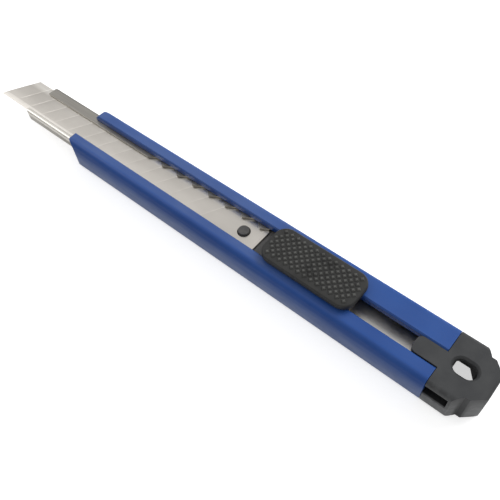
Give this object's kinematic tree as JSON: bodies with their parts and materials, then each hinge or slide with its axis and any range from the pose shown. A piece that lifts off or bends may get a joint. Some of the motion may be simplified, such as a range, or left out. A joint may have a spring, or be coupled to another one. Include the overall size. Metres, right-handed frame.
{
  "type": "utility knife",
  "caption": "Slim utility knife with a sliding snap-off blade in a folded steel channel, a moulded sleeve, a knurled thumb slider and a plug-in end cap.",
  "frame": {"origin": "centre of the sleeve's flat back, in the plane it lies on", "axes": "+X along the knife from the blade's tip to the end cap; +Y across it towards the blade's spine, the cutting edge is at -Y; +Z out of the slotted face that the thumb slider stands on"},
  "size_m": [0.1399, 0.0132, 0.0108],
  "materials": {
    "sleeve_blue": "injection moulded blue plastic, satin to glossy",
    "channel_steel": "rolled steel strip, bright zinc or bare, folded",
    "blade_steel": "ground carbon tool steel",
    "carrier_black": "moulded black plastic",
    "spring_steel": "stamped spring steel",
    "pad_grey": "moulded dark grey plastic with a knurled top",
    "cap_grey": "moulded dark grey plastic, fine matt"
  },
  "bodies": {
    "handle": {"sleeve": "sleeve_blue", "guide_channel": "channel_steel"},
    "slider": {"blade_carrier": "carrier_black", "thumb_pad": "pad_grey", "lock_spring": "spring_steel", "blade": "blade_steel"},
    "rear_cap": {"end_cap": "cap_grey"}
  },
  "joints": [
    {"name": "slider_slide", "type": "slide", "parent": "handle", "child": "slider", "axis": [1, 0, 0], "range_m": [-0.055, 0.015], "deforming": ["lock_spring"]},
    {"name": "cap_pull", "type": "slide", "parent": "handle", "child": "rear_cap", "axis": [1, 0, 0], "range_m": [0, 0.012]}
  ]
}
